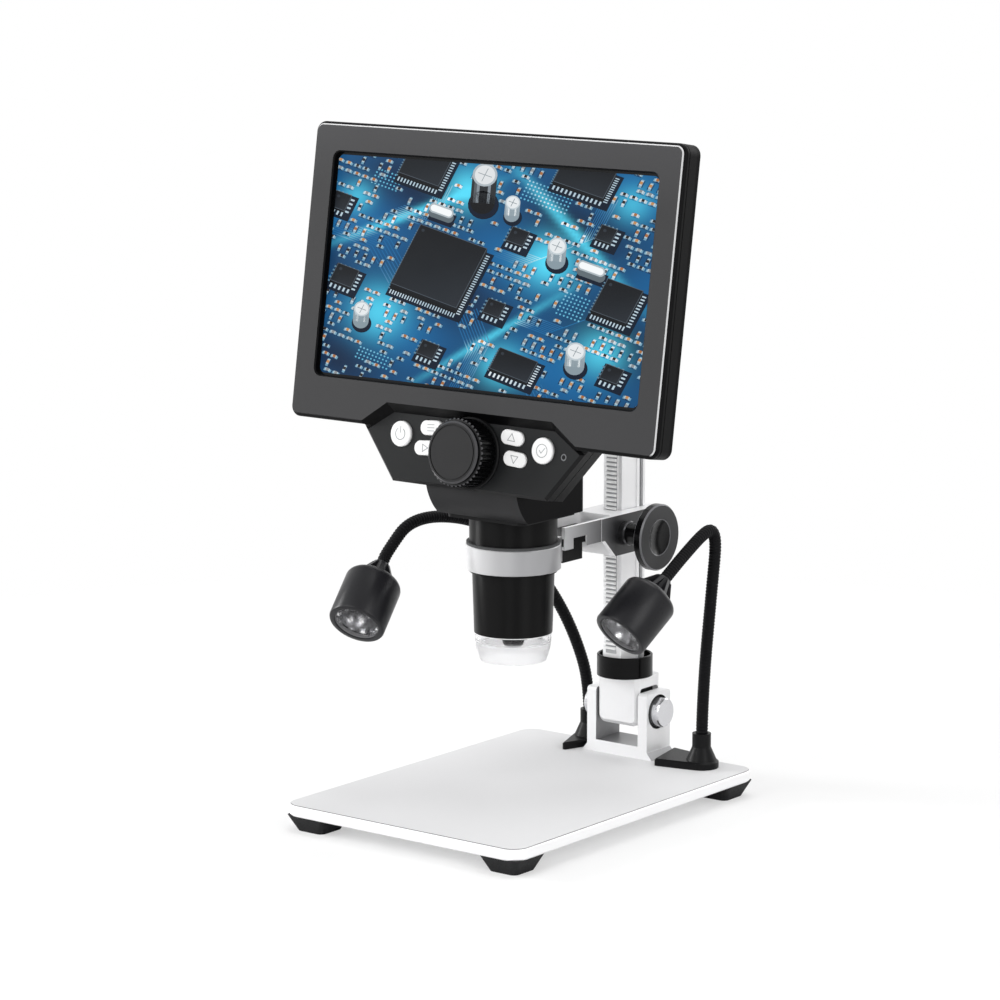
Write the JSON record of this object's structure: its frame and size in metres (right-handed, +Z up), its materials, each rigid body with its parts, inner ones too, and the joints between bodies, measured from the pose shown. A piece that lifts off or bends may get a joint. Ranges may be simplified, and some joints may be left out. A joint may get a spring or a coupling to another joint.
{
  "type": "lcd digital microscope",
  "caption": "Desktop digital microscope with a tilted display head, side rack knobs, a focusing barrel and gooseneck lamps over a flat stage.",
  "frame": {"origin": "on the ground under the middle of the stage plate", "axes": "+Z up, +X to the right of someone facing the screen, -Y towards that person"},
  "size_m": [0.178, 0.1588, 0.2706],
  "materials": {
    "anodised_plate": "fine satin with polished edge",
    "rubber": "matte",
    "screw_steel": "satin",
    "silver_metal": "satin anodised",
    "bolt_metal": "satin",
    "rack_metal": "satin",
    "black_plastic": "fine matte",
    "knob_plastic": "satin",
    "head_plastic": "satin",
    "barrel_plastic": "satin",
    "frosted_nose": "frosted clear plastic",
    "button_white": "gloss",
    "board_green": "solder mask",
    "led_white": "white board with lamps",
    "indicator": "smoked lens",
    "screen_glass": "screen",
    "socket_metal": "plated",
    "lens_coating": "coated glass",
    "spindle_steel": "satin",
    "neck_rubber": "ribbed matte",
    "lamp_plastic": "satin",
    "reflector": "bright",
    "lamp_lens": "clear"
  },
  "bodies": {
    "base": {"base_plate": "anodised_plate", "rubber_feet": "rubber", "base_screws": "screw_steel", "tilt_bracket": "silver_metal", "pivot_bolts": "bolt_metal", "left_lamp_foot": "black_plastic", "right_lamp_foot": "black_plastic"},
    "mast": {"tilt_block": "silver_metal", "column_collar": "black_plastic", "column": "silver_metal", "gear_rack": "rack_metal", "column_cap": "black_plastic"},
    "carriage_body": {"carriage": "silver_metal", "shaft_bushes": "bolt_metal"},
    "pinion_body": {"pinion": "bolt_metal", "pinion_shaft": "bolt_metal", "rack_knob_left": "knob_plastic", "rack_knob_right": "knob_plastic"},
    "holder": {"holder_ring": "silver_metal", "ring_liner": "rubber", "slide_bar": "black_plastic", "holder_screws": "screw_steel"},
    "head": {"upper_barrel": "barrel_plastic", "lower_barrel": "barrel_plastic", "clear_nose": "frosted_nose", "led_ring": "led_white", "camera_housing": "black_plastic", "chin_plate": "black_plastic", "pod_shell": "head_plastic", "pod_back": "head_plastic", "button_board": "board_green", "focus_flange": "knob_plastic", "bezel_frame": "head_plastic", "lcd_panel": "screen_glass", "main_board": "board_green", "back_cover": "head_plastic", "back_screws": "screw_steel", "side_sockets": "socket_metal", "indicator_led": "indicator"},
    "lens_group": {"lens_cell": "black_plastic", "lens_glass": "lens_coating", "sensor_board": "board_green"},
    "focus_drive": {"focus_knob": "knob_plastic", "focus_spindle": "spindle_steel"},
    "power_key": {"power_button": "button_white"},
    "menu_key": {"menu_button": "button_white"},
    "playback_key": {"playback_button": "button_white"},
    "up_key": {"up_button": "button_white"},
    "down_key": {"down_button": "button_white"},
    "ok_key": {"ok_button": "button_white"},
    "left_neck_low": {"left_lower_neck": "neck_rubber"},
    "left_neck_high": {"left_upper_neck": "neck_rubber"},
    "left_lamp": {"left_lamp_shell": "lamp_plastic", "left_lamp_reflector": "reflector", "left_lamp_lens": "lamp_lens"},
    "right_neck_low": {"right_lower_neck": "neck_rubber"},
    "right_neck_high": {"right_upper_neck": "neck_rubber"},
    "right_lamp": {"right_lamp_shell": "lamp_plastic", "right_lamp_reflector": "reflector", "right_lamp_lens": "lamp_lens"}
  },
  "joints": [
    {"name": "column_tilt", "type": "hinge", "parent": "base", "child": "mast", "pos_m": [0, 0.0708, 0.0298], "axis": [1, 0, 0], "range_deg": [-25, 15]},
    {"name": "carriage_lift", "type": "slide", "parent": "mast", "child": "carriage_body", "axis": [0, 0, 1], "range_m": [-0.036, 0.105]},
    {"name": "pinion_turn", "type": "hinge", "parent": "carriage_body", "child": "pinion_body", "pos_m": [0, 0.05356, 0.106], "axis": [1, 0, 0], "range_deg": [-1600, 560]},
    {"name": "arm_reach", "type": "slide", "parent": "carriage_body", "child": "holder", "axis": [0, -1, 0], "range_m": [0, 0.02]},
    {"name": "head_swivel", "type": "hinge", "parent": "holder", "child": "head", "pos_m": [0, -0.0068, 0.105], "axis": [0, 0, 1], "range_deg": [-45, 45]},
    {"name": "lens_focus", "type": "slide", "parent": "head", "child": "lens_group", "axis": [0, 0, 1], "range_m": [-0.005, 0.005]},
    {"name": "focus_turn", "type": "hinge", "parent": "head", "child": "focus_drive", "pos_m": [0, -0.0377, 0.14944], "axis": [0, -0.9881, 0.154], "range_deg": [-120, 120]},
    {"name": "power_press", "type": "slide", "parent": "head", "child": "power_key", "axis": [0, 0.9881, -0.154], "range_m": [0, 0.0005], "stiffness_N_per_m": 1200, "springref_m": -0.0008},
    {"name": "menu_press", "type": "slide", "parent": "head", "child": "menu_key", "axis": [0, 0.9881, -0.154], "range_m": [0, 0.0005], "stiffness_N_per_m": 1200, "springref_m": -0.0008},
    {"name": "playback_press", "type": "slide", "parent": "head", "child": "playback_key", "axis": [0, 0.9881, -0.154], "range_m": [0, 0.0005], "stiffness_N_per_m": 1200, "springref_m": -0.0008},
    {"name": "up_press", "type": "slide", "parent": "head", "child": "up_key", "axis": [0, 0.9881, -0.154], "range_m": [0, 0.0005], "stiffness_N_per_m": 1200, "springref_m": -0.0008},
    {"name": "down_press", "type": "slide", "parent": "head", "child": "down_key", "axis": [0, 0.9881, -0.154], "range_m": [0, 0.0005], "stiffness_N_per_m": 1200, "springref_m": -0.0008},
    {"name": "ok_press", "type": "slide", "parent": "head", "child": "ok_key", "axis": [0, 0.9881, -0.154], "range_m": [0, 0.0005], "stiffness_N_per_m": 1200, "springref_m": -0.0008},
    {"name": "right_lamp_turn", "type": "hinge", "parent": "base", "child": "right_neck_low", "pos_m": [0.0385, 0.0678, 0.019], "axis": [0, 0, 1], "range_deg": [0, 60]},
    {"name": "right_neck_bend", "type": "hinge", "parent": "right_neck_low", "child": "right_neck_high", "pos_m": [0.03994, 0.07284, 0.08972], "axis": [-1, 0, 0], "range_deg": [-25, 25]},
    {"name": "right_lamp_aim", "type": "hinge", "parent": "right_neck_high", "child": "right_lamp", "pos_m": [0.0412, 0.0381, 0.0939], "axis": [-1, 0, 0], "range_deg": [-30, 30]},
    {"name": "left_lamp_turn", "type": "hinge", "parent": "base", "child": "left_neck_low", "pos_m": [-0.0228, 0.0748, 0.019], "axis": [0, 0, -1], "range_deg": [0, 60]},
    {"name": "left_neck_bend", "type": "hinge", "parent": "left_neck_low", "child": "left_neck_high", "pos_m": [-0.04871, 0.00515, 0.11112], "axis": [-0.9902, 0.1398, 0], "range_deg": [-25, 25]},
    {"name": "left_lamp_aim", "type": "hinge", "parent": "left_neck_high", "child": "left_lamp", "pos_m": [-0.0527, -0.0231, 0.0982], "axis": [-0.9902, 0.1398, 0], "range_deg": [-30, 30]}
  ],
  "couplings": [
    {"joint": "pinion_turn", "follows": "carriage_lift", "rad_per_m": -249.33},
    {"joint": "focus_turn", "follows": "lens_focus", "rad_per_m": 416.67}
  ]
}
